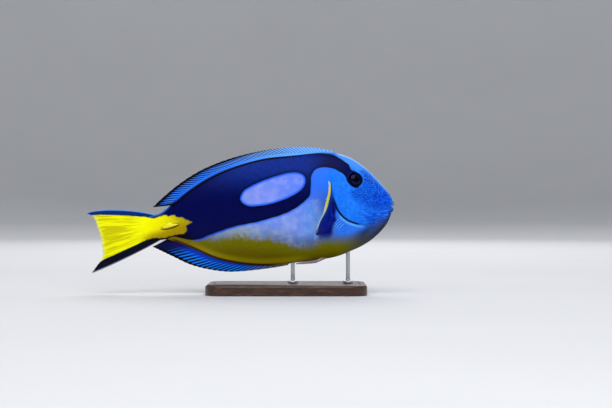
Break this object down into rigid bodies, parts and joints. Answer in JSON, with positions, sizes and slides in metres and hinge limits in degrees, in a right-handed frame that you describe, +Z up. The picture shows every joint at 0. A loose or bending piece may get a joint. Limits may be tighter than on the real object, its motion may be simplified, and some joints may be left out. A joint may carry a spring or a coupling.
{
  "type": "fish display model",
  "caption": "Still, life-size display model of a regal blue tang, a flat oval reef fish with spread breast fins, held over a plain flat base by short rods.",
  "frame": {"origin": "on the floor, under the middle of the model's bounding box", "axes": "+Z up, +X from the tail fin to the snout, +Y to the fish's left side, so the pictured right side faces -Y"},
  "size_m": [0.2403, 0.104, 0.1147],
  "materials": {
    "head_skin": "painted cast skin, bright blue with fine dark speckles and a satin sheen",
    "trunk_skin": "painted cast skin, dark blue palette mark over pale blue flank and olive yellow belly, satin",
    "tail_skin": "painted cast skin, yellow with a dark blue upper edge, satin",
    "fins": "painted cast fin, blue with black edge and fine rays, satin",
    "tail_fin": "painted cast fin, bright yellow with dark upper and lower edges, satin",
    "pectoral_fins": "painted cast fin, dark blue with a yellow rear edge, satin",
    "pelvic_fins": "painted cast fin, pale greyish pink, satin",
    "eye": "black, high gloss",
    "spine": "yellowish bone, smooth",
    "stand_base": "dark walnut, satin lacquer",
    "stand_rods": "brushed"
  },
  "bodies": {
    "root": {"head": "head_skin", "eye_left": "eye", "eye_right": "eye", "trunk": "trunk_skin", "tail_base": "tail_skin", "tail_spine_left": "spine", "tail_spine_right": "spine", "dorsal_fin": "fins", "anal_fin": "fins", "caudal_fin": "tail_fin", "pectoral_fin_left": "pectoral_fins", "pectoral_fin_right": "pectoral_fins", "pelvic_fin_left": "pelvic_fins", "pelvic_fin_right": "pelvic_fins", "stand_base": "stand_base", "stand_rod_front": "stand_rods", "stand_rod_rear": "stand_rods"}
  },
  "joints": []
}
